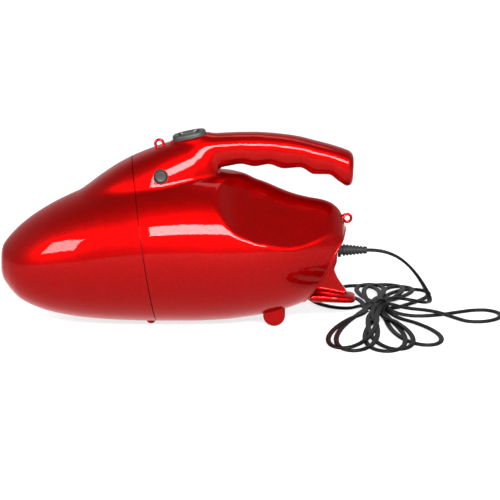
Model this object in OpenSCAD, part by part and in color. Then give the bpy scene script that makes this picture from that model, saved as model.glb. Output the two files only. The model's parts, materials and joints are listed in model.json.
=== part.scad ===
// Hand-held pet dryer: a bullet-shaped blower with a bridge handle and a tied flat mains cord.
// +Z is up, the nose points to -X, and the feet stand on z = 0.

/* [Body] */
// Length of the object from the nose to the tip of the tail fin
object_len = 353; // [345:1:360]
// Half width of the body at its widest section
body_half_w = 71; // [68:0.5:74]
// Wall thickness of the moulded shells
wall = 2.6; // [2:0.1:3.2]
// Height of the motor axis above the ground
axis_z = 79; // [77:0.5:81]
// Tilt of the joint between the front cup and the housing
seam_tilt = 8.2; // [6:0.1:10]
// Place of that joint on the motor axis
seam_x = -33; // [-36:1:-30]

/* [Handle] */
// Half width of the hand grip
grip_half_w = 16; // [14:0.5:18]

/* [Air path] */
// Radius of the bore in the nose
port_r = 11; // [9:0.5:12]
// Length of the nose bore
port_len = 24; // [20:1:26]
// Height of the nose bore's axis
port_z = 62; // [60:0.5:64]
// Radius of the fan wheel
fan_r = 46; // [40:1:48]
// Number of fan blades
fan_blades = 9; // [7:1:12]

/* [Controls] */
// Radius of a release button
button_r = 5.8; // [5:0.1:6]
// Tilt of the switch plate, front end down
switch_tilt = 12; // [8:1:15]

/* [Cord] */
// Width of the flat twin cord
cord_w = 5.2; // [4.8:0.1:5.6]
// Thickness of the flat twin cord
cord_t = 3.2; // [2.8:0.1:3.4]
// Height of the tied hank of cord
hank_h = 15; // [14:0.5:18]

/* [Hidden] */

RED = "#b40a0a";
DARK_RED = "#7a0808";
GREY = "#8b948c";
BLACK = "#1a1a1c";
STEEL = "#b9bcc0";
COPPER = "#b5713a";
BRASS = "#c2a14d";
RUBBER = "#2a2a2c";
IVORY = "#d8d2c0";
FELT = "#e6e6e0";

// Body sections: x, top, bottom, half width as a share of the widest, roundness of the upper half
BODY = [
    [-176.5, 76.5, 47.5, 0.211, 2], [-175, 79.3, 44.3, 0.26, 2], [-171, 84.8, 38.2, 0.352, 2],
    [-166.5, 90, 32.6, 0.437, 2], [-158.5, 98, 24.7, 0.542, 2], [-146.5, 107.6, 18.2, 0.648, 2],
    [-134.5, 115.5, 13.6, 0.725, 2], [-122.5, 122.4, 10.4, 0.786, 2], [-95, 135.2, 6, 0.894, 2],
    [-60, 148, 3.4, 0.96, 2], [-25, 155, 2.4, 0.995, 2],
    [10, 157, 2.4, 1, 2], [40, 156, 3.6, 0.985, 1.85], [70, 150, 7, 0.94, 1.6],
    [95, 140, 11.5, 0.86, 1.45], [115, 131.5, 17.5, 0.76, 1.4], [132, 126, 25, 0.65, 1.4],
    [147, 122, 33, 0.54, 1.5], [156, 117, 39, 0.45, 1.6], [161, 109, 44, 0.38, 1.8],
    [165, 98, 50, 0.3, 2]
];
// Ridge on top that grows into the handle: x, top, half width
HUMP = [
    [-101, 128, 20], [-96, 134.5, 25], [-84, 144.3, 31], [-72, 153, 35], [-60, 160.8, 38],
    [-46, 168.3, 40], [-28, 176, 40], [-9, 182.6, 38], [12, 187, 32], [26, 190, 25],
    [36, 190, 18]
];
hump_root_z = 108;
hump_power = 2.6;
// Bridge handle: x, top, bottom, with a finger groove at every second section
GRIP = [
    [4, 186, 155], [22, 191, 155.6], [36, 192.2, 157.3], [48, 192.7, 159.4], [62, 193, 161.5],
    [75, 193.1, 159.3], [89, 192.4, 161.2], [104, 191, 157.2], [120, 188.5, 157.8],
    [134, 185.2, 151.7], [148, 181.5, 150.9], [159, 178, 144.2], [167, 175.2, 140],
    [171, 171.6, 142], [173, 165.5, 148]
];
section_sides = 40;
grip_sides = 28;
joint_gap = 0.4;

// The tail is cut by a plane that leans back towards the top
tail_cut_x = 122;
tail_cut_z = 20;
tail_lean = 29.4;

function signed_pow(v, p) = sign(v) * pow(abs(v), p);

// Closed section across X as [y, z] points, with its own roundness above the waist
function section(half_w, top, bottom, power, sides) =
    let (mid = (top + bottom) / 2, rise = (top - bottom) / 2)
    [for (i = [0 : sides - 1])
        let (c = cos(360 * i / sides), s = sin(360 * i / sides), p = s > 0 ? 2 / power : 1)
        [half_w * signed_pow(c, p), mid + rise * signed_pow(s, p)]];

function body_x(s) = s[0] * object_len / 353;
function body_section(s, inset) =
    section(s[3] * body_half_w - inset, s[1] - inset, s[2] + inset, s[4], section_sides);
function body_ring(s, inset) =
    [for (p = body_section(s, inset)) [body_x(s), p[0], p[1]]];
function hump_section(s, inset) =
    let (top = s[1] - inset)
    section(s[2] - inset, top, 2 * hump_root_z - top, hump_power, grip_sides);
function grip_section(s, inset) =
    let (high = s[1] - inset, low = s[2] + inset)
    section(min(grip_half_w - inset, (high - low) * 0.62), high, low, 2.3, grip_sides);

// Joins a row of equal rings into one closed solid
module skin(rings) {
    n = len(rings[0]);
    m = len(rings);
    polyhedron(
        points = [for (r = rings) each r],
        faces = concat(
            [[for (i = [0 : n - 1]) i]],
            [[for (i = [n - 1 : -1 : 0]) (m - 1) * n + i]],
            [for (j = [0 : m - 2], i = [0 : n - 1]) [j * n + i, (j + 1) * n + i, (j + 1) * n + (i + 1) % n]],
            [for (j = [0 : m - 2], i = [0 : n - 1])
                [j * n + i, (j + 1) * n + (i + 1) % n, j * n + (i + 1) % n]]
        ),
        convexity = 6
    );
}

module slice(x, outline)
    translate([x, 0, 0]) rotate([90, 0, 90]) linear_extrude(0.05) polygon(outline);

// Blends a row of slices, each a pair of x and outline, pair by pair
module chain(slices)
    for (i = [0 : len(slices) - 2])
        hull() {
            slice(slices[i][0], slices[i][1]);
            slice(slices[i + 1][0], slices[i + 1][1]);
        }

module body_solid(inset) skin([for (s = BODY) body_ring(s, inset)]);
module hump_solid(inset) chain([for (s = HUMP) [s[0], hump_section(s, inset)]]);
module grip_solid(inset) chain([for (s = GRIP) [s[0], grip_section(s, inset)]]);

module behind_seam(shift)
    translate([seam_x + shift, 0, axis_z]) rotate([0, -seam_tilt, 0])
        translate([0, -250, -250]) cube([500, 500, 500]);
module ahead_of_seam(shift)
    translate([seam_x + shift, 0, axis_z]) rotate([0, -seam_tilt, 0])
        translate([-500, -250, -250]) cube([500, 500, 500]);
module behind_tail()
    translate([tail_cut_x, 0, tail_cut_z]) rotate([0, tail_lean, 0])
        translate([0, -250, -250]) cube([500, 500, 500]);

// A cylinder along +X from x
module x_rod(x, length, r) translate([x, 0, axis_z]) rotate([0, 90, 0]) cylinder(r = r, h = length, $fn = 64);
// A ring along +X from x
module x_ring(x, length, r_out, r_in)
    difference() {
        x_rod(x, length, r_out);
        x_rod(x - 1, length + 2, r_in);
    }
// A cylinder along +Y, centred on y
module y_rod(x, y, z, length, r)
    translate([x, y, z]) rotate([90, 0, 0]) cylinder(r = r, h = length, center = true, $fn = 48);

// ---- front cup ----
port_flange_r = port_r + 4;

module front_cup() color(RED)
    difference() {
        union() {
            body_solid(0);
            hump_solid(0);
        }
        intersection() {
            union() {
                body_solid(wall);
                hump_solid(wall);
            }
            translate([body_x(BODY[0]) + 2 * wall, -150, 0]) cube([500, 300, 300]);
        }
        behind_seam(-joint_gap / 2);
        translate([-200, 0, port_z]) rotate([0, 90, 0]) cylinder(r = port_r + 2, h = 60, $fn = 48);
    }

module cup_latch_tongue() color(DARK_RED)
    translate([-75, -9, 147.5]) cube([51, 18, 3]);

module nose_port() color(DARK_RED)
    translate([-object_len / 2, 0, port_z]) rotate([0, 90, 0])
        rotate_extrude($fn = 96)
            polygon([[port_r, 0], [port_r + 1.95, 0], [port_r + 1.95, 8], [port_flange_r, 8],
                [port_flange_r, 11], [port_r + 1.95, 11], [port_r + 1.95, port_len], [port_r, port_len]]);

// ---- joint, seal and filter, all square to the tilted joint plane ----
filter_r = 62;
module at_seam(shift) translate([seam_x, 0, axis_z]) rotate([0, -seam_tilt, 0]) translate([shift, 0, 0])
    rotate([0, 90, 0]) children();

module cup_seal() color(RUBBER)
    at_seam(-1.5) rotate_extrude($fn = 96) translate([filter_r + 2.2, 0]) square([2, 4]);

module filter_frame() color(BLACK)
    at_seam(-1.5) difference() {
        cylinder(r = filter_r + 2, h = 5, $fn = 96);
        translate([0, 0, -1]) cylinder(r = filter_r - 8, h = 7, $fn = 96);
    }

module filter_cone() color(FELT)
    at_seam(-1.5) rotate([180, 0, 0]) rotate_extrude($fn = 64)
        polygon([[filter_r - 10, 0], [filter_r - 8.2, 0], [28, 48], [0, 52], [0, 50], [26.5, 46.2]]);

// ---- housing ----
// Bosses for the screws that clamp the two halves: x and z
BOSSES = [[-14, 19], [88, 24], [94, 118], [-6, 166], [66, 180], [150, 164]];
boss_r = 4.2;
screw_r = 1.5;
screw_len = 16;
screw_head_r = 2.9;
button_x = -17;
button_z = 156;
switch_x = 11;
switch_z = 188.5;

module housing_outer() {
    body_solid(0);
    hump_solid(0);
    grip_solid(0);
}
module housing_inner() {
    body_solid(wall);
    hump_solid(wall);
    grip_solid(wall);
}
module switch_frame() translate([switch_x, 0, switch_z]) rotate([0, -switch_tilt, 0]) children();

// One half of the housing; side is -1 for the left half and 1 for the right
module housing_half(side)
    intersection() {
        difference() {
            union() {
                difference() {
                    housing_outer();
                    housing_inner();
                }
                intersection() {
                    housing_outer();
                    for (b = BOSSES) y_rod(b[0], 0, b[1], 200, boss_r);
                }
            }
            ahead_of_seam(joint_gap / 2);
            behind_tail();
            for (s = [-1, 1]) y_rod(button_x, s * 40, button_z, 40, button_r + 0.4);
            switch_frame() translate([-13, -8, -25]) cube([26, 16, 40]);
            for (b = BOSSES) {
                y_rod(b[0], 0.5, b[1], screw_len + 3, screw_r + 0.1);
                y_rod(b[0], screw_len / 2 + 65, b[1], 130, screw_head_r + 0.3);
            }
        }
        translate([-250, side < 0 ? -150 : 0.05, -10]) cube([500, 149.95, 300]);
    }

module housing_left() color(RED) housing_half(-1);
module housing_right() color(RED) housing_half(1);

module housing_screws() color(STEEL)
    for (b = BOSSES) {
        y_rod(b[0], 0, b[1], screw_len, screw_r);
        y_rod(b[0], screw_len / 2 + 1, b[1], 2, screw_head_r);
    }

module front_glide() color(RED)
    intersection() {
        translate([seam_x + 4.8, 0, 5]) rotate([90, 0, 0]) cylinder(r = 5, h = 24, center = true, $fn = 48);
        translate([-60, -20, 0]) cube([120, 40, 3]);
    }

foot_y = 18;
// Rounded tab under the belly; side is -1 or 1
module rear_foot(side) color(RED)
    translate([94, side * foot_y + 4, 0]) rotate([90, 0, 0]) linear_extrude(8)
        hull() {
            translate([-3, 6]) circle(r = 6, $fn = 40);
            translate([4, 6]) circle(r = 6, $fn = 40);
            translate([-11, 12]) square([22, 1]);
        }

module rear_foot_left() rear_foot(-1);
module rear_foot_right() rear_foot(1);

// Keel of the tail with the flat tongue at its foot
module tail_fin() color(RED) {
    translate([0, 4, 0]) rotate([90, 0, 0]) linear_extrude(8)
        polygon([[121.5, 29], [145.8, 72], [152.5, 84], [158, 84], [158, 62], [155, 54],
            [157, 46], [162, 39], [168, 32],
            [160, 26], [132, 27]]);
    hull() {
        translate([130, -18, 24]) cube([1, 36, 6]);
        translate([172, -11, 24]) rotate([90, 0, 90]) cylinder(r = 2.6, h = 1, $fn = 32);
        translate([172, 11, 24]) rotate([90, 0, 90]) cylinder(r = 2.6, h = 1, $fn = 32);
        translate([object_len / 2 - 1.5, -8, 22.5]) cube([1.5, 16, 3]);
    }
}

// Louvred plate that closes the slanted tail
grille_slats = 9;
slat_pitch = 7.4;
module outlet_grille() color(DARK_RED)
    translate([tail_cut_x, 0, tail_cut_z]) rotate([0, tail_lean, 0]) translate([-8, 0, 0]) {
        for (y = [-14, 11]) translate([0, y, 8]) cube([3, 3, (grille_slats - 1) * slat_pitch + 3.2]);
        for (i = [0 : grille_slats - 1])
            let (half = 31 - abs(i - 3) * 2.4)
            translate([0, -half, 8 + i * slat_pitch]) cube([3, 2 * half, 3.2]);
    }

module strap_lug(x, z, base_x, base_z) color(RED)
    difference() {
        union() {
            y_rod(x, 0, z, 5, 5.3);
            translate([min(x, base_x), -2.5, min(z, base_z)])
                cube([max(3, abs(x - base_x)), 5, max(3, abs(z - base_z))]);
        }
        y_rod(x, 0, z, 12, 2.5);
    }
module front_strap_lug() strap_lug(-19, 181.8, -19, 176.8);
module rear_strap_lug() strap_lug(167, 106, 162, 106);

// ---- switch ----
module switch_bezel() color(GREY)
    switch_frame() difference() {
        hull() {
            translate([-6, 0, 0]) cylinder(r = 10.5, h = 4, $fn = 48);
            translate([6, 0, 0]) cylinder(r = 10.5, h = 4, $fn = 48);
        }
        translate([-10, -6, -1]) cube([20, 12, 8]);
    }

rocker_r = 22;
module power_rocker() color(BLACK)
    switch_frame() intersection() {
        translate([0, 0, rocker_r + 3.4]) difference() {
            translate([-9.2, -5.4, -rocker_r - 7]) cube([18.4, 10.8, 12]);
            rotate([90, 0, 0]) cylinder(r = rocker_r, h = 30, center = true, $fn = 96);
        }
        translate([0, 0, -1.2]) rotate([90, 0, 0]) cylinder(r = 9.4, h = 12, center = true, $fn = 64);
    }

module switch_body() color(BLACK)
    switch_frame() difference() {
        translate([-12, -7.6, -19]) cube([24, 15.2, 18.9]);
        translate([-10.6, -6, -11.6]) cube([21.2, 12, 14]);
    }

module switch_terminals() color(BRASS)
    switch_frame() for (x = [-7, 7]) translate([x - 0.4, -2.4, -26]) cube([0.8, 4.8, 7]);

// ---- release buttons ----
module release_button(side) color(GREY) {
    y_rod(button_x, side * 30.4, button_z, 8.8, button_r);
    y_rod(button_x, side * 25, button_z, 2, button_r + 1.2);
}
module button_spring(side) color(STEEL)
    difference() {
        y_rod(button_x, side * 18, button_z, 12, 3.6);
        y_rod(button_x, side * 18, button_z, 14, 2.6);
    }
module release_button_left() release_button(-1);
module release_button_right() release_button(1);
module button_spring_left() button_spring(-1);
module button_spring_right() button_spring(1);
module latch_block() color(IVORY)
    difference() {
        translate([button_x - 7, -12, 152.6]) cube([14, 24, 10]);
        y_rod(button_x, 0, button_z + 2, 30, 1.2);
    }

// ---- fan and motor ----
shaft_r = 4;
shaft_bore_r = shaft_r + 0.05;
fan_x = -20;

module fan_shroud() color(IVORY)
    translate([fan_x - 4, 0, axis_z]) rotate([0, 90, 0]) rotate_extrude($fn = 96)
        polygon([[22, 0], [fan_r + 6, 0], [fan_r + 6, 26], [fan_r + 4, 26], [fan_r + 4, 2], [22, 2]]);

module impeller() color(STEEL) {
    x_ring(fan_x, 16, 9, shaft_bore_r);
    x_ring(fan_x + 14, 2, fan_r, 8);
    for (i = [0 : fan_blades - 1])
        translate([fan_x + 4, 0, axis_z]) rotate([i * 360 / fan_blades, 0, 0])
            translate([0, 8.4, -1]) rotate([-28, 0, 0]) cube([10.1, 34, 1.4]);
}

module impeller_nut() color(STEEL)
    difference() {
        translate([fan_x - 3.5, 0, axis_z]) rotate([0, 90, 0]) cylinder(r = 7, h = 3.4, $fn = 6);
        x_rod(fan_x - 5, 8, shaft_bore_r);
    }

module motor_shaft() color(STEEL) x_rod(-23.4, 115, shaft_r);
module bearing_front() color(STEEL) x_ring(4, 7, 11, shaft_bore_r);
module bearing_rear() color(STEEL) x_ring(84.05, 4.4, 9.5, shaft_bore_r);

module motor_bracket_front() color(STEEL)
    translate([2, 0, axis_z]) rotate([0, 90, 0]) rotate_extrude($fn = 96)
        polygon([[6, 0], [fan_r + 5.8, 0], [fan_r + 5.8, 2], [36, 2], [36, 20], [33, 20], [33, 4],
            [13, 4], [13, 9], [11.02, 9], [11.02, 2], [6, 2]]);

module motor_bracket_rear() color(STEEL)
    translate([64, 0, axis_z]) rotate([0, 90, 0]) rotate_extrude($fn = 96)
        polygon([[33, 0], [36, 0], [36, 26], [6, 26], [6, 24.5], [9.52, 24.5], [9.52, 20], [11.5, 20],
            [11.5, 23], [33, 23]]);

module motor_stator() color(STEEL)
    difference() {
        x_ring(22, 42, 35.8, 20.4);
        for (s = [-1, 1]) translate([21, s * 26 - 5.5, axis_z - 14]) cube([44, 11, 28]);
    }

module field_coils() color(COPPER)
    for (s = [-1, 1], end = [[12.5, 9], [64.5, 5]]) intersection() {
        x_ring(end[0], end[1], 32, 21.5);
        translate([end[0] - 1, s > 0 ? 2 : -42, axis_z - 40]) cube([12, 40, 80]);
    }

module armature_core() color(STEEL)
    difference() {
        x_ring(25, 36, 19.6, shaft_bore_r);
        for (i = [0 : 11])
            translate([24, 0, axis_z]) rotate([i * 30, 0, 0]) translate([0, -1.2, 13]) cube([38, 2.4, 5]);
    }

module armature_windings() color(COPPER) {
    x_ring(15, 9.8, 17, 5);
    x_ring(61.2, 6, 17, 5);
}

module commutator() color(COPPER) x_ring(68, 12, 11, shaft_bore_r);

module brush_holders() color(BRASS)
    for (s = [-1, 1]) difference() {
        translate([70, s > 0 ? 13 : -31, axis_z - 4.5]) cube([9, 18, 9]);
        translate([71.3, -34, axis_z - 3.2]) cube([6.4, 68, 6.4]);
    }

module carbon_brushes() color(BLACK)
    for (s = [-1, 1]) translate([71.5, s > 0 ? 11.4 : -25.4, axis_z - 3]) cube([6, 14, 6]);

module motor_mount(x) color(RUBBER) x_ring(x, 8, 43, 36.05);
module motor_mount_front() motor_mount(26);
module motor_mount_rear() motor_mount(66);

// Plate across the housing that holds a rubber mount, cut to the shell's inner section
module bulkhead(x, s) color(IVORY)
    difference() {
        translate([x, 0, 0]) rotate([90, 0, 90]) linear_extrude(4)
            polygon(section(s[3] * body_half_w - wall - 1.2, s[1] - wall - 4, s[2] + wall + 1.2,
                s[4], section_sides));
        x_rod(x - 1, 6, 43.05);
    }
module bulkhead_front() bulkhead(28, BODY[12]);
module bulkhead_rear() bulkhead(68, BODY[14]);

module suppressor() color("#c8b040") translate([100, -8, 84]) cube([14, 16, 9]);

// ---- swept leads ----
function unit(v) = v / norm(v);
function tangent(p, i) = unit(p[min(i + 1, len(p) - 1)] - p[max(i - 1, 0)]);
// Flat eight-sided ring across the route at point i
function lead_ring(p, i, half_w, half_t) =
    let (t = tangent(p, i), side = unit(cross(t, [0, 0, 1])), up = cross(side, t))
    [for (k = [0 : 7])
        p[i] + (side * half_w * cos(45 * k + 22.5) - up * half_t * sin(45 * k + 22.5)) / cos(22.5)];
module lead(route, half_w, half_t)
    skin([for (i = [0 : len(route) - 1]) lead_ring(route, i, half_w, half_t)]);

module wiring_harness() color(BLACK) {
    lead([[141, -2, 76], [135, -3, 88], [124, -4, 102], [106, -5, 120], [84, -5, 131.5], [62, -4, 142],
        [46, -3, 149], [34, -3, 152], [27, -3, 155], [24, -3, 161]], 1.3, 1.3);
    lead([[9, 3, 158.5], [12, 5, 155], [20, 7, 152.5], [32, 8, 151.2], [44, 10, 147], [56, 12, 141],
        [66, 13, 137], [75, 15, 133], [82, 18, 124], [85, 21, 114]], 1.3, 1.3);
}

// ---- cord ----
cord_exit = [187, 0, 73];
relief_x = 158;
module strain_relief() color(RUBBER)
    translate([relief_x, 0, cord_exit[2]]) rotate([0, 90, 0]) {
        cylinder(r = 7, h = 3, $fn = 48);
        translate([0, 0, 3]) cylinder(r = 4.6, h = 2, $fn = 48);
        translate([0, 0, 5]) cylinder(r1 = 6, r2 = 3.4, h = cord_exit[0] - relief_x - 5, $fn = 48);
    }

// From the strain relief down to the ground and back over the waist of the hank
LEAD_ROUTE = [
    [187, 0, 73], [196, 0, 72.6], [206, 0.5, 70.6], [217, 2, 65.6], [227, 4, 57.6], [236, 7, 47],
    [243.5, 11, 35], [249, 17, 23.6], [251.5, 25, 14.4], [250, 34, 9.2], [244, 42, 7.4], [234.5, 46, 8],
    [224.5, 45, 10], [215.5, 40, 12], [209, 33, 13]
];
// The one loop that lies apart, out to the rear and over itself
LOOP_ROUTE = [
    [210.5, 18.5, 6], [221, 14, 3], [234, 11, 1.7], [249, 11, 1.7], [264, 16, 1.7], [280, 24, 1.7],
    [296, 31, 1.7], [310, 31, 1.7], [320, 22, 1.7], [322, 9, 1.7], [315, -3, 1.7], [302, -10, 1.7],
    [287, -9, 2], [273, -1, 4], [260, 9, 5.6], [247, 18, 5.6], [233, 25, 5.2], [221, 30, 6], [210, 32, 8]
];
// From the hank to the plug, behind the tail
END_ROUTE = [
    [183, 32, 6], [172, 35, 3], [159, 40.5, 1.7], [147, 48, 1.8], [137, 58, 2.6], [130, 70, 4.8],
    [126.6, 81, 7.6], [126, 90, 9]
];
waist = [196, 25];
waist_r = 13;
lobe_r = 23;

module cord_lead() color(BLACK) lead(LEAD_ROUTE, cord_w / 2, cord_t / 2);
module cord_loop() color(BLACK) lead(LOOP_ROUTE, cord_w / 2, cord_t / 2);
module cord_end() color(BLACK) lead(END_ROUTE, cord_w / 2, cord_t / 2);

// Bow-tie outline of the tied hank, its near lobes longer than its far ones
module cord_hank() color(BLACK)
    difference() {
        linear_extrude(hank_h) {
            hull() {
                translate(waist) circle(r = waist_r, $fn = 48);
                translate([154, -82]) circle(r = lobe_r, $fn = 48);
                translate([198, -96]) circle(r = lobe_r, $fn = 48);
                translate([240, -76]) circle(r = lobe_r, $fn = 48);
            }
            hull() {
                translate(waist) circle(r = waist_r, $fn = 48);
                translate([180, 104]) circle(r = lobe_r, $fn = 48);
                translate([220, 106]) circle(r = lobe_r, $fn = 48);
                translate([246, 88]) circle(r = lobe_r, $fn = 48);
            }
        }
        // where the tie draws it in
        for (s = [-1, 1])
            translate([waist[0] + s * (waist_r + 4), waist[1], 0]) cube([8, 4.6, 3 * hank_h], center = true);
    }

tie_t = 1.2;
module cord_tie() color(BLACK)
    translate([waist[0], waist[1] - 2, 0]) difference() {
        translate([-waist_r - tie_t, 0, 0]) cube([2 * (waist_r + tie_t), 4, hank_h + tie_t]);
        translate([-waist_r, -1, -1]) cube([2 * waist_r, 6, hank_h + 1]);
    }

module plug_body() color(BLACK)
    hull() {
        translate([126, 90, 9]) rotate([-90, 0, 0]) cylinder(r = 5, h = 2, $fn = 32);
        translate([126, 104, 9]) rotate([-90, 0, 0]) cylinder(r = 9, h = 20, $fn = 32);
        translate([116, 106, 2]) cube([20, 16, 14]);
    }

pin_gap = 12.7;
module plug_pins() color(BRASS)
    for (s = [-1, 1]) translate([126 + s * pin_gap / 2 - 0.75, 124, 5.8]) cube([1.5, 17, 6.4]);

front_cup();
cup_latch_tongue();
nose_port();
cup_seal();
filter_frame();
filter_cone();
housing_left();
housing_right();
housing_screws();
front_glide();
rear_foot_left();
rear_foot_right();
tail_fin();
outlet_grille();
front_strap_lug();
rear_strap_lug();
switch_bezel();
power_rocker();
switch_body();
switch_terminals();
release_button_left();
release_button_right();
button_spring_left();
button_spring_right();
latch_block();
fan_shroud();
impeller();
impeller_nut();
motor_shaft();
bearing_front();
bearing_rear();
motor_bracket_front();
motor_bracket_rear();
motor_stator();
field_coils();
armature_core();
armature_windings();
commutator();
brush_holders();
carbon_brushes();
motor_mount_front();
motor_mount_rear();
bulkhead_front();
bulkhead_rear();
suppressor();
wiring_harness();
strain_relief();
cord_lead();
cord_hank();
cord_loop();
cord_end();
cord_tie();
plug_body();
plug_pins();
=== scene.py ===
import json
import math

import bmesh
import bpy
import numpy as np
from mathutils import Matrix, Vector


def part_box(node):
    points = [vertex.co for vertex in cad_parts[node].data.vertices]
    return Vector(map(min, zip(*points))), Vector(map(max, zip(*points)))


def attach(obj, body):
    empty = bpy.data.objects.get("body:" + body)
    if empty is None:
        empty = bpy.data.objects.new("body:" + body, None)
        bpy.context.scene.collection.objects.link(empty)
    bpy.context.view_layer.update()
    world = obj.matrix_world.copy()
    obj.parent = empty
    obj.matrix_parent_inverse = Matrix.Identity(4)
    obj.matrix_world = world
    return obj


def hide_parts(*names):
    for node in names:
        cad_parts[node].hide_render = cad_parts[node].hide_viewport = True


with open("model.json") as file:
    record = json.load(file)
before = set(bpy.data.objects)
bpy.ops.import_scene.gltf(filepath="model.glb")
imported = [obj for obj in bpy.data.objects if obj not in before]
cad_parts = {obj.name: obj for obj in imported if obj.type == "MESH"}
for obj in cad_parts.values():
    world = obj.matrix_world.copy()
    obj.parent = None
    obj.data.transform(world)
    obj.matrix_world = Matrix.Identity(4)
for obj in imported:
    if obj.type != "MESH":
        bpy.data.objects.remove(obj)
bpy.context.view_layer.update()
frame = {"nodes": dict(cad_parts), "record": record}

MM = 0.001

# ---------------------------------------------------------------- camera, floor and light

ELEVATION = math.radians(15)
DISTANCE = 3.4
VIEW_WIDTH = 0.498
AIM = Vector((0.0705, 0, 0.073))
LIT_POINT = Vector((0.03, 0, 0.09))


def make_camera():
    data = bpy.data.cameras.new("camera")
    data.sensor_width = 36
    data.lens = data.sensor_width * DISTANCE / VIEW_WIDTH
    data.clip_end = 20
    camera = bpy.data.objects.new("camera", data)
    bpy.context.scene.collection.objects.link(camera)
    towards = Vector((0, -math.cos(ELEVATION), math.sin(ELEVATION)))
    camera.location = AIM + towards * DISTANCE
    camera.rotation_euler = (-towards).to_track_quat("-Z", "Y").to_euler()
    bpy.context.scene.camera = camera


def make_light(name, place, size, watts):
    data = bpy.data.lights.new(name, "AREA")
    data.shape = "RECTANGLE"
    data.size, data.size_y = size
    data.energy = watts
    light = bpy.data.objects.new(name, data)
    bpy.context.scene.collection.objects.link(light)
    light.location = place
    light.rotation_euler = (LIT_POINT - Vector(place)).to_track_quat("-Z", "Y").to_euler()


def make_stage():
    mesh = bpy.data.meshes.new("floor")
    half = 4.0
    corners = [(-half, -half, 0), (half, -half, 0), (half, half, 0), (-half, half, 0)]
    mesh.from_pydata(corners, [], [(0, 1, 2, 3)])
    floor = bpy.data.objects.new("floor", mesh)
    bpy.context.scene.collection.objects.link(floor)
    floor.location.z = -0.0002  # clear of the feet's undersides
    paper = bpy.data.materials.new("white_paper")
    paper.use_nodes = True
    shader = paper.node_tree.nodes["Principled BSDF"]
    shader.inputs["Base Color"].default_value = (0.25, 0.25, 0.25, 1)
    shader.inputs["Roughness"].default_value = 0.9
    shader.inputs["Specular IOR Level"].default_value = 0.1
    shader.inputs["Emission Color"].default_value = (1, 1, 1, 1)
    shader.inputs["Emission Strength"].default_value = 0.76
    mesh.materials.append(paper)
    make_world()
    make_light("window", (0.36, -1.5, 0.98), (1.28, 0.42), 118)
    make_light("nose", (-1.14, -1.0, 0.72), (0.5, 0.42), 30)
    make_light("overhead", (0.3, 0.5, 1.5), (0.9, 0.4), 4)
    bpy.context.scene.view_settings.view_transform = "Standard"


def make_world():
    """A studio that is bright at the height of its windows and dark overhead."""
    world = bpy.data.worlds.new("studio")
    world.use_nodes = True
    nodes, links = world.node_tree.nodes, world.node_tree.links
    place = nodes.new("ShaderNodeTexCoord")
    split = nodes.new("ShaderNodeSeparateXYZ")
    ramp = nodes.new("ShaderNodeValToRGB")
    stops = ((0.0, 0.8), (0.12, 0.8), (0.3, 1.0), (0.62, 0.95), (0.86, 0.46), (1.0, 0.4))
    while len(ramp.color_ramp.elements) < len(stops):
        ramp.color_ramp.elements.new(0.5)
    for element, (position, level) in zip(ramp.color_ramp.elements, stops):
        element.position = position
        element.color = (level, level, level, 1)
    links.new(place.outputs["Generated"], split.inputs["Vector"])
    links.new(split.outputs["Z"], ramp.inputs["Fac"])
    links.new(ramp.outputs["Color"], nodes["Background"].inputs["Color"])
    nodes["Background"].inputs["Strength"].default_value = 0.82
    bpy.context.scene.world = world


make_camera()
make_stage()

# ---------------------------------------------------------------- materials

def new_material(name, colour, roughness, **sockets):
    material = bpy.data.materials.new(name)
    material.use_nodes = True
    shader = material.node_tree.nodes["Principled BSDF"]
    shader.inputs["Base Color"].default_value = (*colour, 1)
    shader.inputs["Roughness"].default_value = roughness
    for socket, value in sockets.items():
        shader.inputs[socket.replace("_", " ")].default_value = value
    return material


def add_noise(material, scale, detail=3.0):
    nodes = material.node_tree.nodes
    place = nodes.new("ShaderNodeTexCoord")
    noise = nodes.new("ShaderNodeTexNoise")
    noise.inputs["Scale"].default_value = scale
    noise.inputs["Detail"].default_value = detail
    material.node_tree.links.new(place.outputs["Object"], noise.inputs["Vector"])
    return noise


def vary_colour(material, dark, light, scale, detail=3.0):
    nodes, links = material.node_tree.nodes, material.node_tree.links
    noise = add_noise(material, scale, detail)
    ramp = nodes.new("ShaderNodeValToRGB")
    ramp.color_ramp.elements[0].position = 0.35
    ramp.color_ramp.elements[0].color = (*dark, 1)
    ramp.color_ramp.elements[1].position = 0.68
    ramp.color_ramp.elements[1].color = (*light, 1)
    links.new(noise.outputs["Fac"], ramp.inputs["Fac"])
    links.new(ramp.outputs["Color"], nodes["Principled BSDF"].inputs["Base Color"])


def vary_roughness(material, low, high, scale):
    nodes, links = material.node_tree.nodes, material.node_tree.links
    noise = add_noise(material, scale)
    spread = nodes.new("ShaderNodeMapRange")
    spread.inputs["To Min"].default_value = low
    spread.inputs["To Max"].default_value = high
    links.new(noise.outputs["Fac"], spread.inputs["Value"])
    links.new(spread.outputs["Result"], nodes["Principled BSDF"].inputs["Roughness"])


def add_bump(material, scale, strength, distance=0.0002, detail=4.0):
    nodes, links = material.node_tree.nodes, material.node_tree.links
    noise = add_noise(material, scale, detail)
    bump = nodes.new("ShaderNodeBump")
    bump.inputs["Strength"].default_value = strength
    bump.inputs["Distance"].default_value = distance
    links.new(noise.outputs["Fac"], bump.inputs["Height"])
    links.new(bump.outputs["Normal"], nodes["Principled BSDF"].inputs["Normal"])


def lacquer(name, dark, light):
    """Metallic lacquer: fine flakes under a smooth clear coat."""
    material = new_material(
        name, light, 0.34, Metallic=0.9, Coat_Weight=0.8, Coat_Roughness=0.03, Coat_IOR=1.2)
    shader = material.node_tree.nodes["Principled BSDF"]
    shader.inputs["Specular IOR Level"].default_value = 0.05
    shader.inputs["Specular Tint"].default_value = (1.0, 0.03, 0.03, 1)
    vary_colour(material, dark, light, 900, 2.0)
    vary_roughness(material, 0.3, 0.4, 60)
    add_bump(material, 1500, 0.02, 0.00003, 1.0)
    return material


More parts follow.
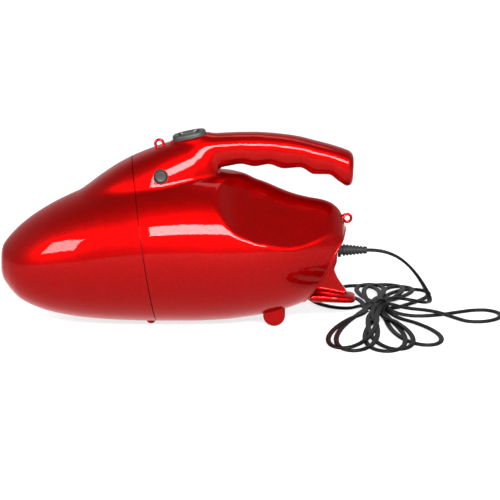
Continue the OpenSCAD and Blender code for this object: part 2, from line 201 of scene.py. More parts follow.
def plastic(name, dark, light, roughness, grain=1400, strength=0.22, gloss=0.5):
    material = new_material(name, light, roughness)
    material.node_tree.nodes["Principled BSDF"].inputs["Specular IOR Level"].default_value = gloss
    vary_colour(material, dark, light, 70)
    vary_roughness(material, roughness - 0.06, roughness + 0.08, 160)
    add_bump(material, grain, strength, 0.00006)
    return material


def metal(name, dark, light, roughness, grain=500):
    material = new_material(name, light, roughness, Metallic=1.0)
    vary_colour(material, dark, light, 45)
    vary_roughness(material, roughness - 0.05, roughness + 0.12, grain)
    add_bump(material, grain, 0.12, 0.00003)
    return material


MATERIALS = {
    "red_gloss": lacquer("red_lacquer", (0.2, 0.0, 0.0), (0.28, 0.0, 0.0)),
    # A darker copy of the red lacquer for the dark_red slot, the outlet grille deep in the tail: its darker
    # tone is painted shade of the recessed outlet.
    "dark_red": lacquer("red_lacquer_painted_shade", (0.1, 0.0, 0.0), (0.17, 0.0, 0.0)),
    "grey_trim": plastic("grey_plastic", (0.013, 0.012, 0.011), (0.021, 0.02, 0.018), 0.42, gloss=0.22),
    "black_plastic": plastic("black_plastic", (0.006, 0.006, 0.006), (0.014, 0.014, 0.015), 0.34, gloss=0.35),
    "rubber": plastic("rubber", (0.004, 0.004, 0.004), (0.01, 0.01, 0.011), 0.6, 900, 0.3, 0.2),
    "filter_felt": plastic("filter_felt", (0.3, 0.3, 0.27), (0.46, 0.46, 0.42), 0.9, 700, 0.7),
    "steel": metal("steel", (0.42, 0.43, 0.45), (0.62, 0.63, 0.65), 0.26),
    "aluminium": metal("cast_aluminium", (0.52, 0.53, 0.54), (0.72, 0.73, 0.74), 0.42, 300),
    "laminations": metal("laminations", (0.2, 0.2, 0.21), (0.34, 0.34, 0.36), 0.48, 900),
    "copper": metal("enamelled_copper", (0.42, 0.16, 0.06), (0.66, 0.3, 0.12), 0.3, 800),
    "brass": metal("brass", (0.55, 0.4, 0.16), (0.78, 0.6, 0.28), 0.28),
    "carbon": plastic("carbon", (0.01, 0.01, 0.01), (0.035, 0.035, 0.035), 0.6),
    "ivory_plastic": plastic("ivory_plastic", (0.6, 0.56, 0.44), (0.72, 0.68, 0.56), 0.45),
    "suppressor": plastic("suppressor_epoxy", (0.42, 0.3, 0.03), (0.56, 0.43, 0.06), 0.3),
    "black_cord": plastic(
        "cord_sheath", (0.0012, 0.0012, 0.0012), (0.003, 0.003, 0.003), 0.42, 500, 0.2, 0.08),
    "marks": plastic("pale_marks", (0.26, 0.27, 0.26), (0.36, 0.37, 0.36), 0.5),
}

for part in frame["record"]["subparts"]:
    node = frame["nodes"][part["node"]]
    node.data.materials.clear()
    node.data.materials.append(MATERIALS[part["material_slot"]])

# ---------------------------------------------------------------- mesh helpers, in millimetres

def add_piece(name, verts, faces, body, slot_name, replaces=(), sharp=38):
    mesh = bpy.data.meshes.new(name)
    mesh.from_pydata([tuple(v) for v in np.asarray(verts, float) * MM], [], [tuple(f) for f in faces])
    return dress(name, mesh, body, slot_name, replaces, sharp)


def dress(name, mesh, body, slot_name, replaces=(), sharp=38):
    """Makes a shaded piece of a mesh that is in metres, and lets it ride on its body."""
    bm = bmesh.new()
    bm.from_mesh(mesh)
    bmesh.ops.recalc_face_normals(bm, faces=bm.faces)
    for face in bm.faces:
        face.smooth = True
    for edge in bm.edges:
        edge.smooth = len(edge.link_faces) != 2 or edge.calc_face_angle(0) < math.radians(sharp)
    bm.to_mesh(mesh)
    bm.free()
    mesh.materials.clear()
    mesh.materials.append(MATERIALS[slot_name])
    piece = bpy.data.objects.new(name, mesh)
    bpy.context.scene.collection.objects.link(piece)
    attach(piece, body)
    if replaces:
        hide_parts(*replaces)
    return piece


def surface(field, low, high, step):
    """Surface nets: a quad mesh of field = 0 in a box, then drawn onto the surface itself."""
    axes = [np.arange(a, b + step, step) for a, b in zip(low, high)]
    x, y, z = np.meshgrid(*axes, indexing="ij")
    f = field(x, y, z)
    inside = f < 0
    cells = tuple(n - 1 for n in f.shape)
    total = np.zeros(cells + (3,))
    count = np.zeros(cells)
    corners = [(i, j, k) for i in (0, 1) for j in (0, 1) for k in (0, 1)]
    grid = np.stack([x, y, z], -1)

    def at(values, c):
        return values[c[0]:c[0] + cells[0], c[1]:c[1] + cells[1], c[2]:c[2] + cells[2]]

    for a in corners:
        for b in corners:
            if a < b and sum(abs(p - q) for p, q in zip(a, b)) == 1:
                fa, fb = at(f, a), at(f, b)
                crossed = (fa < 0) != (fb < 0)
                t = np.where(crossed, fa / np.where(crossed, fa - fb, 1), 0)[..., None]
                point = at(grid, a) * (1 - t) + at(grid, b) * t
                total += np.where(crossed[..., None], point, 0)
                count += crossed
    used = count > 0
    number = np.full(cells, -1)
    number[used] = np.arange(used.sum())
    verts = total[used] / count[used][:, None]
    faces = []
    for axis in range(3):
        u, v = (axis + 1) % 3, (axis + 2) % 3
        first = [slice(1, -1)] * 3
        first[axis] = slice(0, -1)
        second = list(first)
        second[axis] = slice(1, None)
        a, b = inside[tuple(first)], inside[tuple(second)]
        spots = np.argwhere(a != b)
        flip = a[a != b]
        spots += np.array([0 if d == axis else 1 for d in range(3)])
        quad = []
        for du, dv in ((1, 1), (0, 1), (0, 0), (1, 0)):
            move = np.zeros(3, int)
            move[u], move[v] = -du, -dv
            s = spots + move
            quad.append(number[s[:, 0], s[:, 1], s[:, 2]])
        quad = np.stack(quad, 1)
        quad[flip] = quad[flip][:, ::-1]
        faces.append(quad)
    verts, faces = settle(field, verts, step), np.concatenate(faces)
    a, b, c = (verts[faces[:, i]] for i in (0, 1, 2))
    normal = np.cross(b - a, c - b)
    middle = (a + c) / 2
    size = np.maximum(np.linalg.norm(normal, axis=1, keepdims=True), 1e-9)
    outside = field(*(middle + 0.2 * step * normal / size).T)
    if (outside > 0).mean() < 0.5:
        faces = faces[:, ::-1]
    return verts, faces


def settle(field, verts, step, rounds=3):
    """Moves points along the field's slope until they lie on the surface."""
    gap = 0.05 * step
    for _ in range(rounds):
        x, y, z = verts.T
        slope = np.stack([
            field(x + gap, y, z) - field(x - gap, y, z),
            field(x, y + gap, z) - field(x, y - gap, z),
            field(x, y, z + gap) - field(x, y, z - gap)], 1) / (2 * gap)
        size = np.maximum((slope ** 2).sum(1), 0.05)
        move = -slope * (field(x, y, z) / size)[:, None]
        length = np.linalg.norm(move, axis=1, keepdims=True)
        verts = verts + move * np.minimum(1, 0.6 * step / np.maximum(length, 1e-9))
    return verts


def smooth_min(a, b, k):
    h = np.maximum(k - np.abs(a - b), 0) / k
    return np.minimum(a, b) - h * h * k / 4


def smooth_max(a, b, k):
    return -smooth_min(-a, -b, k)


def eased(stations):
    """Turns rows of (x, values...) into a function of x that is smooth and never overshoots."""
    table = np.array(stations, float)
    xs, ys = table[:, 0], table[:, 1:]
    width = np.diff(xs)[:, None]
    slope = np.diff(ys, axis=0) / width
    product, total = slope[:-1] * slope[1:], slope[:-1] + slope[1:]
    inner = np.where(product > 0, 2 * product / np.where(total == 0, 1, total), 0)
    tangents = np.vstack([slope[:1], inner, slope[-1:]])

    def at(x):
        x = np.clip(x, xs[0], xs[-1])
        i = np.clip(np.searchsorted(xs, x, side="right") - 1, 0, len(xs) - 2)
        h = width[i][..., 0]
        t = (x - xs[i]) / h
        out = []
        for c in range(ys.shape[1]):
            a, b = ys[i, c], ys[i + 1, c]
            ma, mb = tangents[i, c] * h, tangents[i + 1, c] * h
            out.append(a + t * (ma + t * (3 * (b - a) - 2 * ma - mb + t * (2 * (a - b) + ma + mb))))
        return out

    return at


def radial(y, z, half_w, middle, rise, power):
    """How far (y, z) is outside a superellipse, measured from its middle."""
    rho = (np.abs(y / half_w) ** power + np.abs((z - middle) / rise) ** power) ** (1 / power)
    reach = np.sqrt(y ** 2 + (z - middle) ** 2)
    return np.where(rho > 0.05, reach * (1 - 1 / np.maximum(rho, 0.05)), -np.minimum(half_w, rise))


# ---------------------------------------------------------------- the form of the shells

NOSE_X, PORT_Z, PORT_R = -176.5, 62, 13.0
SEAM_X, AXIS_Z, SEAM_TILT = -33.0, 79.0, math.radians(8.2)
TAIL_X, TAIL_Z, TAIL_LEAN = 122.0, 20.0, math.radians(29.4)

# x, top, bottom, half width
BODY = eased([
    (-176.5, 76.5, 47.5, 15), (-175, 79.3, 44.3, 18.5), (-171, 84.8, 38.2, 25), (-166.5, 90, 32.6, 31),
    (-158.5, 98, 24.7, 38.5), (-146.5, 107.6, 18.2, 46), (-134.5, 115.5, 13.6, 51.5),
    (-122.5, 122.4, 10.4, 55.8), (-95, 135.2, 6, 63.5), (-60, 148, 3.4, 68.5), (-25, 155, 2.4, 70.6),
    (10, 157, 2.4, 71), (40, 155, 3.6, 70), (70, 151.5, 7, 66.5), (95, 147, 11.5, 61), (115, 141, 17.5, 54.5),
    (132, 134, 25, 47), (147, 126, 33, 39.5), (156, 120, 39, 34), (162, 113, 45, 29), (168, 103, 52, 23)])
# x, height of the ridge where the two rear flats meet
RIDGE = eased([
    (-60, 232), (0, 195), (36, 172), (56, 156.5), (68, 150.5), (76, 146.5), (85, 143.2), (99, 137),
    (113, 131.5), (127, 127.8), (142, 124.9), (151, 121.5), (158, 115.7), (162, 109), (165, 98), (168, 84)])
# x, top, half width
HUMP = eased([
    (-114, 113, 14), (-106, 122, 20), (-97, 133.5, 26), (-84, 144.3, 31.5), (-72, 153, 35.5),
    (-60, 160.8, 38), (-46, 168.3, 40), (-28, 176, 40), (-9, 182.8, 37.5), (12, 187.5, 31.5),
    (26, 190, 25), (44, 190.5, 18)])
# x, top, bottom of the handle
GRIP = eased([
    (0, 184, 155), (22, 190.5, 155.6), (36, 192, 157.4), (48, 192.7, 159.6), (62, 193.2, 161.8),
    (75, 193.3, 159.3), (89, 192.6, 161.4), (104, 191.2, 157.1), (120, 188.6, 158.2), (134, 185, 151.3),
    (148, 181.3, 151.1),
    (159, 177.9, 143.6), (167, 175, 139.2), (178, 170.4, 138.8)])
HUMP_ROOT = 108.0
FLAT_SLOPE, CROWN = 0.912, 9.0
SWITCH_X, SWITCH_Z, SWITCH_TILT = 11.0, 188.5, math.radians(12)


def body_field(x, y, z):
    top, bottom, half_w = BODY(x)
    ridge = RIDGE(x)[0]
    f = radial(y, z, half_w, (top + bottom) / 2, (top - bottom) / 2, 2.0)
    flats = 0.7 * (z - ridge + FLAT_SLOPE * (np.sqrt(y ** 2 + CROWN ** 2) - CROWN))
    f = smooth_max(f, flats, 1.6)
    f = smooth_max(f, NOSE_X - x, 3)
    return smooth_max(f, x - 167, 3)


def switch_frame(x, z):
    """x and z in the tilted frame of the switch plate."""
    c, s = math.cos(SWITCH_TILT), math.sin(SWITCH_TILT)
    dx, dz = x - SWITCH_X, z - SWITCH_Z
    return dx * c + dz * s, -dx * s + dz * c


def hump_field(x, y, z):
    top, half_w = HUMP(x)
    f = radial(y, z, half_w, HUMP_ROOT, top - HUMP_ROOT, 2.6)
    f = smooth_max(f, -110 - x, 6)
    f = smooth_max(f, x - 39, 14)
    u, w = switch_frame(x, z)
    pad = np.sqrt((u / 18.5) ** 2 + (y / 12.6) ** 2)
    pad = smooth_max((pad - 1) * 13, w - 0.6, 3)
    return smooth_min(f, np.maximum(pad, -w - 14), 4)


def grip_field(x, y, z):
    top, bottom = GRIP(x)
    rise = (top - bottom) / 2
    f = radial(y, z, np.full_like(rise, 16.0), (top + bottom) / 2, rise, 2.35)
    f = smooth_max(f, 4 - x, 6)
    return smooth_max(f, x - 172.8 - 0.05 * (z - 158), 7)


def shell_field(x, y, z):
    f = smooth_min(body_field(x, y, z), hump_field(x, y, z), 3.5)
    f = smooth_min(f, grip_field(x, y, z), 5)
    u, w = switch_frame(x, z)
    seat = np.maximum((np.sqrt((u / 17.4) ** 2 + (y / 11.6) ** 2) - 1) * 13, 0.6 - w)
    return np.maximum(f, -seat)


def cut(bm, point, normal):
    """Removes what lies on the normal's side of a plane, in millimetres."""
    geometry = bm.verts[:] + bm.edges[:] + bm.faces[:]
    bmesh.ops.bisect_plane(
        bm, geom=geometry, plane_co=Vector(point), plane_no=Vector(normal), clear_outer=True)


def snapped(verts, point, normal):
    """Slides the points that are almost on a plane onto it, so that a cut leaves no slivers."""
    verts = verts.copy()
    normal = np.array(normal, float)
    near = np.abs((verts - np.array(point)) @ normal) < 0.36 * SHELL_STEP
    moved = verts[near]
    for _ in range(3):
        moved = settle(shell_field, moved, SHELL_STEP, 1)
        moved -= ((moved - np.array(point)) @ normal)[:, None] * normal
    verts[near] = moved
    return verts


def skin_mesh(name, planes, both_sides):
    """Part of the shell cut by planes: one half for a housing, both halves joined for the cup."""
    verts = SHELL_VERTS
    for point, normal in planes:
        verts = snapped(verts, point, normal)
    bm = bmesh.new()
    for p in verts:
        bm.verts.new(p)
    bm.verts.ensure_lookup_table()
    for f in SHELL_FACES:
        bm.faces.new([bm.verts[i] for i in f])
    for point, normal in planes:
        cut(bm, point, normal)
    if both_sides:
        for v in bm.verts:
            if abs(v.co.y) < 0.05:
                v.co.y = 0
        copy = bmesh.ops.duplicate(bm, geom=bm.verts[:] + bm.edges[:] + bm.faces[:])["geom"]
        for v in copy:
            if isinstance(v, bmesh.types.BMVert):
                v.co.y = -v.co.y
        bmesh.ops.reverse_faces(bm, faces=[f for f in copy if isinstance(f, bmesh.types.BMFace)])
        bmesh.ops.remove_doubles(bm, verts=[v for v in bm.verts if abs(v.co.y) < 0.01], dist=0.01)
    bmesh.ops.dissolve_degenerate(bm, edges=bm.edges, dist=0.12 * SHELL_STEP)
    mesh = bpy.data.meshes.new(name)
    bm.to_mesh(mesh)
    bm.free()
    return mesh


def mirrored(mesh, name):
    copy = mesh.copy()
    copy.name = name
    for v in copy.vertices:
        v.co.y = -v.co.y
    copy.flip_normals()
    return copy


def thicken(mesh, thickness, cutters=()):
    """Gives a skin its wall, cuts the holes, and returns the finished mesh in metres."""
    work = bpy.data.objects.new("work", mesh)
    bpy.context.scene.collection.objects.link(work)
    wall = work.modifiers.new("wall", "SOLIDIFY")
    wall.thickness = thickness
    wall.offset = -1
    wall.use_even_offset = False
    for cutter in cutters:
        hole = work.modifiers.new("hole", "BOOLEAN")
        hole.operation = "DIFFERENCE"
        hole.object = cutter
        hole.solver = "EXACT"
    bpy.context.view_layer.update()
    result = bpy.data.meshes.new_from_object(work.evaluated_get(bpy.context.evaluated_depsgraph_get()))
    for v in result.vertices:
        v.co *= MM
    bpy.data.objects.remove(work)
    return result


def rod_cutter(name, centre, axis, radius, length):
    bm = bmesh.new()
    bmesh.ops.create_cone(bm, cap_ends=True, segments=64, radius1=radius, radius2=radius, depth=length)
    mesh = bpy.data.meshes.new(name)
    bm.to_mesh(mesh)
    bm.free()
    cutter = bpy.data.objects.new(name, mesh)
    cutter.rotation_euler = Vector(axis).to_track_quat("Z", "Y").to_euler()
    cutter.location = centre
    bpy.context.scene.collection.objects.link(cutter)
    return cutter


BUTTON_X, BUTTON_Z = -17.0, 156.0
SHELL_STEP = 2.0
SEAM_GAP = 0.4
WALL = 2.4

SHELL_VERTS, SHELL_FACES = surface(shell_field, (-180, -75, -2), (178, 2 * SHELL_STEP, 200), SHELL_STEP)

seam_normal = (math.cos(SEAM_TILT), 0, math.sin(SEAM_TILT))
tail_normal = (math.cos(TAIL_LEAN), 0, -math.sin(TAIL_LEAN))
MIDDLE = ((0, -0.08, 0), (0, 1, 0))
cup_plane = ((SEAM_X - SEAM_GAP, 0, AXIS_Z), seam_normal)
housing_plane = ((SEAM_X + SEAM_GAP, 0, AXIS_Z), tuple(-c for c in seam_normal))
tail_plane = ((TAIL_X, 0, TAIL_Z), tail_normal)


def make_shells():
    port = rod_cutter("port_cutter", (NOSE_X, 0, PORT_Z), (1, 0, 0), PORT_R, 60)
    button = rod_cutter("button_cutter", (BUTTON_X, -40, BUTTON_Z), (0, 1, 0), 7.4, 40)
    cup = skin_mesh("cup", [((0, 0, 0), (0, 1, 0)), cup_plane], True)
    dress("cup_shell", thicken(cup, WALL, [port]), "front_cup", "red_gloss", ["front_cup"])
    half = skin_mesh("half", [MIDDLE, housing_plane, tail_plane], False)
    other = mirrored(half, "other_half")
    left = thicken(half, WALL, [button])
    button.location.y = 40
    right = thicken(other, WALL, [button])
    dress("housing_shell_left", left, "housing", "red_gloss", ["housing_left"])
    dress("housing_shell_right", right, "housing", "red_gloss", ["housing_right"])
    bpy.data.objects.remove(port)
    bpy.data.objects.remove(button)


make_shells()

# ---------------------------------------------------------------- small moulded pieces

def rounded_box(x, y, z, centre, half, r):
    q = [np.maximum(np.abs(v - c) - h + r, 0) for v, c, h in zip((x, y, z), centre, half)]
    inner = np.maximum.reduce([np.abs(v - c) - h + r for v, c, h in zip((x, y, z), centre, half)])
    return np.sqrt(q[0] ** 2 + q[1] ** 2 + q[2] ** 2) + np.minimum(inner, 0) - r


# x, middle height, half height, half width of the tail's tongue
TONGUE = eased([
    (126, 28, 4.6, 20), (140, 27.6, 5.6, 19), (155, 26, 4.9, 17), (168, 24.4, 4.1, 14), (177, 23.6, 3.4, 11)])
# height, rear edge of the keel
KEEL = eased([(24, 168), (32, 166), (38, 162), (46, 157.2), (54, 154.8), (62, 157.2), (84, 158)])


def tail_field(x, y, z):
    middle, rise, half_w = TONGUE(x)
    tongue = radial(y, z, half_w, middle, rise, 3.0)
    tongue = smooth_max(tongue, x - 175.6 + 0.012 * y * y, 4)
    tongue = smooth_max(tongue, 130 - x, 2)
    front = TAIL_X + 0.5635 * (z - TAIL_Z) - 5.2
    keel = smooth_max(np.abs(y) - 4, x - KEEL(z)[0], 2)
    keel = np.maximum(smooth_max(keel, z - 84, 3), np.maximum(front - x, 26 - z))
    return smooth_min(tongue, keel, 4)


def make_tail():
    verts, faces = surface(tail_field, (118, -24, 16), (180, 24, 88), 1.3)
    add_piece("tail_keel", verts, faces, "housing", "red_gloss", ["tail_fin"])


def make_tail_rim():
    """Rolled edge round the cut at the tail."""
    middle_z, bead_r, inset = 58.0, 1.45, 1.1
    centre = np.array([TAIL_X + math.tan(TAIL_LEAN) * (middle_z - TAIL_Z), 0, middle_z])
    up = np.array([math.sin(TAIL_LEAN), 0, math.cos(TAIL_LEAN)])
    out = np.array([math.cos(TAIL_LEAN), 0, -math.sin(TAIL_LEAN)])
    loops = []
    for i in range(120):
        t = 2 * math.pi * i / 120
        way = up * math.cos(t) + np.array([0, math.sin(t), 0])
        low, high = 5.0, 80.0
        for _ in range(24):
            half = (low + high) / 2
            if shell_field(*(centre + way * half)) < 0:
                low = half
            else:
                high = half
        place = centre + way * (low - inset)
        loops.append([tuple(place + way * (bead_r * math.cos(a)) + out * (bead_r * math.sin(a)))
                      for a in np.linspace(0, 2 * math.pi, 14, endpoint=False)])
    verts, faces = loops_mesh(loops)
    faces += ring_closure(len(loops), 14)
    add_piece("tail_rim", verts, faces, "housing", "red_gloss", (), 60)


def foot_field(side):
    """A flat tab with a half-round lower end."""
    def field(x, y, z):
        tab = np.sqrt((x - 94.5) ** 2 + np.minimum(z - 11, 0) ** 2) - 11
        return smooth_max(smooth_max(tab, np.abs(y - side * 18) - 4.3, 3), z - 25, 2)
    return field


def make_feet():
    for side, name in ((-1, "left"), (1, "right")):
        verts, faces = surface(foot_field(side), (80, side * 18 - 6, -1), (110, side * 18 + 6, 27), 0.9)
        add_piece("foot_" + name, verts, faces, "housing", "red_gloss", ["rear_foot_" + name])


def lug_field(cx, cz, root, root_r):
    """A small wire-like ring in the middle plane, blended into a ball at its root."""
    def field(x, y, z):
        ring = np.sqrt(((x - cx) ** 2 + (z - cz) ** 2) + 1e-9) - 3.95
        ring = np.sqrt(ring ** 2 + y ** 2) - 1.45
        base = np.sqrt((x - root[0]) ** 2 + y ** 2 + (z - root[1]) ** 2) - root_r
        hole = 2.5 - np.sqrt((x - cx) ** 2 + (z - cz) ** 2)
        return smooth_max(smooth_min(ring, base, 3), hole, 0.5)
    return field


def make_lugs():
    for name, cx, cz, root, root_r in (
            ("front_strap_lug", -19, 181.8, (-18, 178), 3.0),
            ("rear_strap_lug", 167, 106, (162.2, 106), 2.8)):
        field = lug_field(cx, cz, root, root_r)
        verts, faces = surface(field, (cx - 9, -4.5, cz - 9), (cx + 7, 4.5, cz + 7), 0.5)
        add_piece(name + "_ring", verts, faces, "housing", "red_gloss", [name])


def loops_mesh(loops, closed_start=False, closed_end=False):
    """Quads between equal closed loops of points, with an optional cap at each end."""
    n = len(loops[0])
    verts = [p for loop in loops for p in loop]
    faces = [(j * n + i, j * n + (i + 1) % n, (j + 1) * n + (i + 1) % n, (j + 1) * n + i)
             for j in range(len(loops) - 1) for i in range(n)]
    if closed_start:
        faces.append(tuple(range(n - 1, -1, -1)))
    if closed_end:
        faces.append(tuple((len(loops) - 1) * n + i for i in range(n)))
    return verts, faces


def ring_closure(count, sides):
    """Faces that join the last loop of a closed ring to its first."""
    last = (count - 1) * sides
    return [(last + i, last + (i + 1) % sides, (i + 1) % sides, i) for i in range(sides)]


def oval(a, b, w):
    """A superellipse of half axes a and b at height w."""
    sides, bend = 72, 2 / 2.5
    points = []
    for i in range(sides):
        t = 2 * math.pi * i / sides
        c, s = math.cos(t), math.sin(t)
        points.append((a * math.copysign(abs(c) ** bend, c), b * math.copysign(abs(s) ** bend, s), w))
    return points


def from_switch(point):
    """A point of the switch plate's own frame, in the object's frame."""
    u, y, w = point
    c, s = math.cos(SWITCH_TILT), math.sin(SWITCH_TILT)
    return (SWITCH_X + u * c - w * s, y, SWITCH_Z + u * s + w * c)


def rocker_height(u):
    """The rocker's hollow top."""
    return 4.1 + 2.1 * (u / 9.4) ** 2


def make_switch():
    ring = [oval(16.8, 11.0, -0.6), oval(16.8, 11.0, 3.0), oval(16.4, 10.6, 4.1), oval(15.6, 9.9, 4.8),
            oval(13.6, 8.5, 5.1), oval(11.5, 7.1, 4.7), oval(10.6, 6.3, 4.2), oval(10.3, 6.0, 3.4),
            oval(10.3, 6.0, -0.6)]
    loops = [[from_switch(p) for p in loop] for loop in ring + ring[:1]]
    verts, faces = loops_mesh(loops)
    add_piece("switch_plate", verts, faces, "housing", "grey_trim", ["switch_bezel"], 50)
    rocker = [[(u, y, w) for u, y, _ in oval(9.4, 5.4, 0)] for w in (-2.0, 3.2)]
    rings = ((0.985, 0.45), (0.95, 0.2), (0.9, 0.06), (0.8, 0), (0.6, 0), (0.4, 0), (0.2, 0), (0.003, 0))
    for share, drop in rings:
        rocker.append([(u, y, rocker_height(u) - drop) for u, y, _ in oval(9.4 * share, 5.4 * share, 0)])
    loops = [[from_switch(p) for p in loop] for loop in rocker]
    verts, faces = loops_mesh(loops, True, True)
    add_piece("rocker_cap", verts, faces, "power_rocker", "black_plastic", ["power_rocker"], 40)
    make_marks()


def make_marks():
    """A bar and a ring, the plain signs for on and off, moulded on the rocker's ends."""
    corners = [(-7.0, -1.9), (-6.2, -1.9), (-6.2, 1.9), (-7.0, 1.9)]
    bar = [[(u, y, rocker_height(u) + w) for u, y in corners] for w in (-0.3, 0.12)]
    verts, faces = loops_mesh([[from_switch(p) for p in loop] for loop in bar], True, True)
    add_piece("mark_on", verts, faces, "power_rocker", "marks")
    ring = []
    for r, w in ((1.1, -0.3), (1.1, 0.12), (1.7, 0.12), (1.7, -0.3), (1.1, -0.3)):
        turns = [2 * math.pi * i / 28 for i in range(28)]
        loop = [(6.4 + r * math.cos(t), r * math.sin(t)) for t in turns]
        ring.append([from_switch((u, y, rocker_height(u) + w)) for u, y in loop])
    verts, faces = loops_mesh(ring)
    add_piece("mark_off", verts, faces, "power_rocker", "marks")


def lathe(profile, origin, axis, sides=64):
    """Turns (along, radius) points about an axis from origin; a radius of 0 closes an end."""
    axis = Vector(axis).normalized()
    u = axis.orthogonal().normalized()
    v = axis.cross(u)
    loops = []
    for along, r in profile:
        r = max(r, 0.01)
        loops.append([tuple(Vector(origin) + axis * along + u * (r * math.cos(2 * math.pi * i / sides))
                            + v * (r * math.sin(2 * math.pi * i / sides))) for i in range(sides)])
    return loops_mesh(loops, profile[0][1] == 0, profile[-1][1] == 0)


def make_buttons():
    cap = [(0, 0), (0, 6.9), (1.8, 6.9), (1.8, 5.7), (9.0, 5.7), (9.7, 5.45), (10.1, 4.9), (10.0, 4.2),
           (9.6, 3.4), (9.45, 1.8), (9.4, 0)]
    well = [(0, 7.35), (0.6, 7.0), (0.6, 6.3), (0.2, 6.15), (-3.4, 6.15), (-3.4, 7.35), (0, 7.35)]
    for side, name in ((-1, "left"), (1, "right")):
        verts, faces = lathe(cap, (BUTTON_X, side * 24, BUTTON_Z), (0, side, 0))
        add_piece("button_cap_" + name, verts, faces, "release_" + name, "grey_trim",
                  ["release_button_" + name], 45)
        verts, faces = lathe(well, (BUTTON_X, side * 32.6, BUTTON_Z), (0, side, 0))
        add_piece("button_well_" + name, verts, faces, "housing", "black_plastic", (), 45)


def make_relief():
    """Tapered strain relief with grooves round it."""
    start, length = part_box("strain_relief")[0].x / MM, 29.0
    profile = [(0, 0), (0, 6.6), (0.5, 7), (2.5, 7), (3, 6.6), (3, 4.6), (5, 4.6), (5, 5.7), (5.4, 6)]
    grooves = 6
    for i in range(grooves):
        at = 7.0 + i * 3.4
        r = 6.0 - 2.5 * (at - 5) / (length - 5)
        profile += [(at, r), (at + 0.3, r - 0.9), (at + 1.3, r - 1.0), (at + 1.6, r - 0.2)]
    profile += [(length - 0.8, 3.5), (length - 0.2, 3.3), (length, 3.0), (length, 0)]
    verts, faces = lathe(profile, (start, 0, 73), (1, 0, 0), 48)
    return add_piece("relief_boot", verts, faces, "housing", "rubber", ["strain_relief"], 40)


def glide_field(x, y, z):
    low = np.sqrt((x - SEAM_X - 4.8) ** 2 + (z - 5) ** 2) - 5
    return smooth_max(smooth_max(low, np.abs(y) - 12, 2), z - 4.5, 0.5)


def make_glide():
    verts, faces = surface(glide_field, (SEAM_X - 2, -13.5, -1), (SEAM_X + 11, 13.5, 6), 0.8)
    add_piece("cup_glide", verts, faces, "front_cup", "red_gloss", ["front_glide"])


make_tail()
make_tail_rim()
make_glide()
make_feet()
make_lugs()
make_switch()
make_buttons()
relief = make_relief()

# ---------------------------------------------------------------- cord

CORD_W, CORD_T = 5.2, 3.2
LEAD = [
    (187, 0, 73), (196, 0, 72.6), (206, 0.5, 70.6), (217, 2, 65.6), (227, 4, 57.6), (236, 7, 47),
    (243.5, 11, 35), (249, 17, 23.6), (251.5, 25, 14.4), (250, 34, 9.2), (244, 42, 7.4), (234.5, 46, 8),
    (224.5, 45, 10), (215.5, 40, 12), (209, 33, 13)]
LOOP = [
    (210.5, 18.5, 6), (221, 14, 3), (234, 11, 1.7), (249, 11, 1.7), (264, 16, 1.7), (280, 24, 1.7),
    (296, 31, 1.7), (310, 31, 1.7), (320, 22, 1.7), (322, 9, 1.7), (315, -3, 1.7), (302, -10, 1.7),
    (287, -9, 2), (273, -1, 4), (260, 9, 5.6), (247, 18, 5.6), (233, 25, 5.2), (221, 30, 6), (210, 32, 8)]
END = [
    (183, 32, 6), (172, 35, 3), (159, 40.5, 1.7), (147, 48, 1.8), (137, 58, 2.6), (130, 70, 4.8),
    (126.6, 81, 7.6), (126, 90, 9)]
WAIST = (196.0, 25.0)
COLUMN, LAYER = 5.5, 3.4
# how far each near and far turn of the hank reaches from the waist, in x and y
NEAR = [(-44, -126), (-21, -136), (2, -138), (26, -131), (47, -116)]
FAR = [(-20, 98), (-2, 103), (17, 102), (34, 94), (50, 82)]


def waist_place(k):
    """Where strand k passes through the tied waist: four side by side, in three layers."""
    return np.array([WAIST[0] + (k % 4 - 1.5) * COLUMN, WAIST[1], 1.7 + (k // 4) * LAYER])


def petal(k, reach, half_w):
    """One teardrop turn of the hank, from strand place k of the waist to the next."""
    reach = np.array(reach, float)
    length = np.linalg.norm(reach)
    along = reach / length
    across = np.array([-along[1], along[0]])
    level = 1.7 + LAYER * (k // 2 % 3)
    points = []
    for i in range(1, 14):
        t = i / 14
        base = waist_place(k) * (1 - t) + waist_place(k + 1) * t
        u = length * math.sin(math.pi * t)
        v = half_w * math.sin(2 * math.pi * t)
        out = math.sin(math.pi * t)
        z = base[2] * (1 - out) + level * out * (1 - out) * 1.5 + 1.7 * out ** 2
        points.append((*(base[:2] + along * u + across * v), max(z, 1.7)))
    return points


def cord_route():
    points = list(LEAD)
    turns = [p for pair in zip(NEAR, FAR) for p in pair]
    for k, reach in enumerate(turns):
        if k == 6:
            points += LOOP
        points += petal(10 - k, reach, 21 if reach[1] < 0 else 18)
    return points + END


def smooth_path(points, spacing):
    """A centripetal spline through the points, at even spacing."""
    p = np.array(points, float)
    p = np.vstack([2 * p[0] - p[1], p, 2 * p[-1] - p[-2]])
    dense = []
    for i in range(1, len(p) - 2):
        q = p[i - 1:i + 3]
        knots = np.concatenate([[0], np.cumsum(np.sqrt(np.linalg.norm(np.diff(q, axis=0), axis=1)) + 1e-6)])
        for t in np.linspace(knots[1], knots[2], 12, endpoint=False):
            a = [(knots[j + 1] - t) / (knots[j + 1] - knots[j]) * q[j]
                 + (t - knots[j]) / (knots[j + 1] - knots[j]) * q[j + 1] for j in range(3)]
            b = [(knots[j + 2] - t) / (knots[j + 2] - knots[j]) * a[j]
                 + (t - knots[j]) / (knots[j + 2] - knots[j]) * a[j + 1] for j in range(2)]
            dense.append((knots[2] - t) / (knots[2] - knots[1]) * b[0]
                         + (t - knots[1]) / (knots[2] - knots[1]) * b[1])
    dense = np.array(dense + [p[-2]])
    along = np.concatenate([[0], np.cumsum(np.linalg.norm(np.diff(dense, axis=0), axis=1))])
    places = np.linspace(0, along[-1], int(along[-1] / spacing) + 1)
    return np.stack([np.interp(places, along, dense[:, c]) for c in range(3)], 1), along[-1]


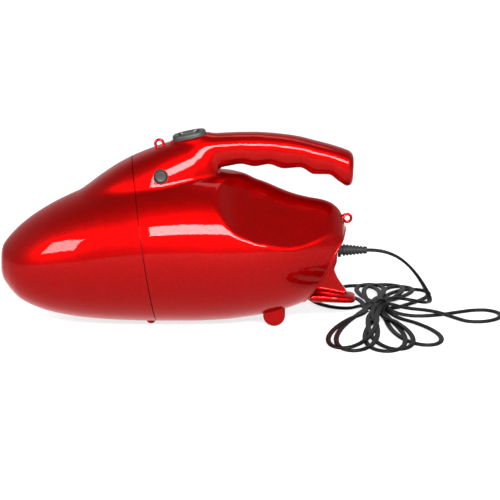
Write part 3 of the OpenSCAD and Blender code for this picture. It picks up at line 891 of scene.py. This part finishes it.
def twin_section():
    """Outline of a flat twin cord: two round cores side by side with a groove between them."""
    sides = 20
    points = []
    for i in range(sides):
        t = 2 * math.pi * i / sides
        c, s = math.cos(t), math.sin(t)
        groove = 1 - 0.24 * math.exp(-(c / 0.28) ** 2)
        points.append((CORD_W / 2 * math.copysign(abs(c) ** 0.8, c),
                       CORD_T / 2 * math.copysign(abs(s) ** 0.85, s) * groove))
    return points


def make_cord():
    path, length = smooth_path(cord_route(), 2.2)
    path[:, 2] = np.maximum(path[:, 2], CORD_T / 2 + 0.05)
    tangents = np.gradient(path, axis=0)
    tangents /= np.linalg.norm(tangents, axis=1, keepdims=True)
    side = np.cross(tangents, (0, 0, 1))
    side /= np.linalg.norm(side, axis=1, keepdims=True)
    up = np.cross(side, tangents)
    section = twin_section()
    loops = [[tuple(p + s * a + u * b) for a, b in section] for p, s, u in zip(path, side, up)]
    verts, faces = loops_mesh(loops, True, True)
    cord = add_piece("mains_cord", verts, faces, "housing", "black_cord",
                     ["cord_lead", "cord_hank", "cord_loop", "cord_end"], 60)
    return cord, path * MM, length * MM


def plug_field(x, y, z):
    head = rounded_box(x, y, z, (126, 114, 9), (10.5, 9.5, 8.4), 4.5)
    neck = np.sqrt((x - 126) ** 2 + (z - 9) ** 2) - (5.2 + 0.16 * (y - 90))
    neck = smooth_max(smooth_max(neck, 89.6 - y, 1.5), y - 118, 1.5)
    ribs = 0.35 * np.cos(2 * math.pi * (y - 92) / 3.2) * (y < 105)
    return smooth_max(smooth_min(head, neck + ribs, 4), y - 124, 1)


def make_plug():
    verts, faces = surface(plug_field, (112, 88, -0.5), (140, 126, 19), 0.8)
    return add_piece("plug_shell", verts, faces, "housing", "black_cord", ["plug_body"], 50)


def make_tie():
    """Wire tie round the waist of the hank, with its two ends twisted together."""
    loops = []
    centre = np.array([WAIST[0], WAIST[1], 6.6])
    turns = 48
    for i in range(turns):
        t = 2 * math.pi * i / turns
        middle = centre + np.array([12.2 * math.cos(t), 0.6 * math.sin(3 * t), 5.4 * math.sin(t)])
        out = np.array([math.cos(t), 0, math.sin(t)])
        loops.append([tuple(middle + out * 0.55 * math.cos(a) + np.array([0, 1.3 * math.sin(a), 0]))
                      for a in np.linspace(0, 2 * math.pi, 10, endpoint=False)])
    verts, faces = loops_mesh(loops)
    faces += ring_closure(len(loops), 10)
    return add_piece("tie_band", verts, faces, "housing", "black_cord", ["cord_tie"], 60)


def make_tie_ends():
    """The tie's two ends, twisted together: a star section that turns as it goes."""
    loops = []
    for i in range(40):
        t = i / 39
        a = 10 * t
        middle = np.array([WAIST[0] + 2 + 9 * t, WAIST[1] - 1 - 3 * t, 12.8 + 2.2 * math.sin(2.6 * t)])
        loops.append([tuple(middle + np.array([0, math.cos(a + b) * (1.5 if j % 2 else 0.8),
                                               math.sin(a + b) * (1.5 if j % 2 else 0.8)]))
                      for j, b in enumerate(np.linspace(0, 2 * math.pi, 8, endpoint=False))])
    verts, faces = loops_mesh(loops, True, True)
    return add_piece("tie_ends", verts, faces, "housing", "black_cord", (), 60)


cord, cord_path, cord_length = make_cord()
plug = make_plug()
tie = make_tie()
tie_ends = make_tie_ends()
